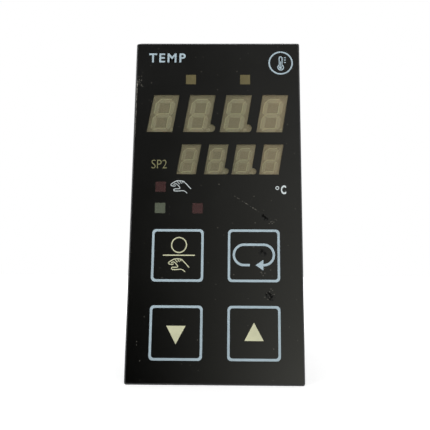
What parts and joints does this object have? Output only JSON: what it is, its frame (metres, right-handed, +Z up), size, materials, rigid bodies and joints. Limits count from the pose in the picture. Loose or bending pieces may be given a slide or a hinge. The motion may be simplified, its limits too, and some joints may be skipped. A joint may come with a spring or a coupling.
{
  "type": "pid temperature controller",
  "caption": "Panel-mount PID temperature controller: plug-in module with two LED displays, status lamps and film keys, in a sleeve with a rear screw terminal block.",
  "frame": {"origin": "centre of the panel cut-out, on the front surface of the panel, where the gasket seats", "axes": "+X to the right of someone facing the front, +Y back into the panel, +Z up"},
  "size_m": [0.048, 0.13, 0.096],
  "materials": {
    "case_plastic": "fine spark-eroded texture",
    "gasket_rubber": "matt",
    "terminal_plastic": "smooth moulded",
    "screw_steel": "nickel plated",
    "contact_brass": "bright",
    "bezel_plastic": "fine spark-eroded texture",
    "film_black": "satin, fine scratches and dust",
    "film_clear": "smoked, translucent",
    "film_yellow": "translucent",
    "film_red": "translucent",
    "film_green": "translucent",
    "print_blue": "screen print",
    "print_cream": "screen print",
    "board_green": "solder resist",
    "reflector_grey": "moulded",
    "segment_resin": "translucent",
    "lamp_yellow": "diffused",
    "lamp_red": "diffused",
    "lamp_green": "diffused",
    "switch_black": "moulded",
    "stem_white": "moulded",
    "plunger_white": "moulded",
    "part_black": "moulded",
    "chip_black": "moulded",
    "chip_ceramic": "matt",
    "can_steel": "drawn",
    "opto_white": "moulded",
    "core_iron": "lacquered laminations",
    "coil_tape": "wound tape",
    "relay_orange": "moulded",
    "capacitor_blue": "shrink sleeve",
    "fuse_glass": "clear",
    "sink_aluminium": "extruded"
  },
  "bodies": {
    "case": {"housing": "case_plastic", "panel_gasket": "gasket_rubber", "rear_terminal_block": "terminal_plastic", "terminal_screws": "screw_steel", "wire_clamps": "screw_steel", "contact_springs": "contact_brass"},
    "module": {"front_bezel": "bezel_plastic", "front_overlay": "film_black", "display_windows": "film_clear", "yellow_windows": "film_yellow", "red_windows": "film_red", "green_window": "film_green", "key_frames": "print_blue", "key_symbols": "print_cream", "display_board": "board_green", "display_screws": "screw_steel", "upper_digit_1": "reflector_grey", "upper_digit_2": "reflector_grey", "upper_digit_3": "reflector_grey", "upper_digit_4": "reflector_grey", "lower_digit_1": "reflector_grey", "lower_digit_2": "reflector_grey", "lower_digit_3": "reflector_grey", "lower_digit_4": "reflector_grey", "segment_fillers": "segment_resin", "output_lamp_1": "lamp_yellow", "output_lamp_2": "lamp_yellow", "manual_lamp": "lamp_red", "run_lamp": "lamp_green", "alarm_lamp": "lamp_red", "switch_auto_manual": "switch_black", "switch_select": "switch_black", "switch_down": "switch_black", "switch_up": "switch_black", "main_board": "board_green", "power_board": "board_green", "main_header": "part_black", "power_header": "part_black", "microcontroller": "chip_black", "eprom": "chip_ceramic", "eprom_socket": "part_black", "crystal": "can_steel", "optocouplers": "opto_white", "transformer_core": "core_iron", "transformer_coil": "coil_tape", "relay_1": "relay_orange", "relay_2": "relay_orange", "filter_capacitors": "capacitor_blue", "mains_fuse": "fuse_glass", "fuse_clips": "screw_steel", "heat_sink": "sink_aluminium", "voltage_regulator": "chip_black"},
    "auto_manual_key": {"key_auto_manual": "plunger_white", "stem_auto_manual": "stem_white"},
    "select_key": {"key_select": "plunger_white", "stem_select": "stem_white"},
    "down_key": {"key_down": "plunger_white", "stem_down": "stem_white"},
    "up_key": {"key_up": "plunger_white", "stem_up": "stem_white"}
  },
  "joints": [
    {"name": "module_slide", "type": "slide", "parent": "case", "child": "module", "axis": [0, -1, 0], "range_m": [0, 0.12]},
    {"name": "auto_manual_press", "type": "slide", "parent": "module", "child": "auto_manual_key", "axis": [0, 1, 0], "range_m": [0, 0.00035], "stiffness_N_per_m": 2000, "springref_m": -0.0005},
    {"name": "select_press", "type": "slide", "parent": "module", "child": "select_key", "axis": [0, 1, 0], "range_m": [0, 0.00035], "stiffness_N_per_m": 2000, "springref_m": -0.0005},
    {"name": "down_press", "type": "slide", "parent": "module", "child": "down_key", "axis": [0, 1, 0], "range_m": [0, 0.00035], "stiffness_N_per_m": 2000, "springref_m": -0.0005},
    {"name": "up_press", "type": "slide", "parent": "module", "child": "up_key", "axis": [0, 1, 0], "range_m": [0, 0.00035], "stiffness_N_per_m": 2000, "springref_m": -0.0005}
  ]
}
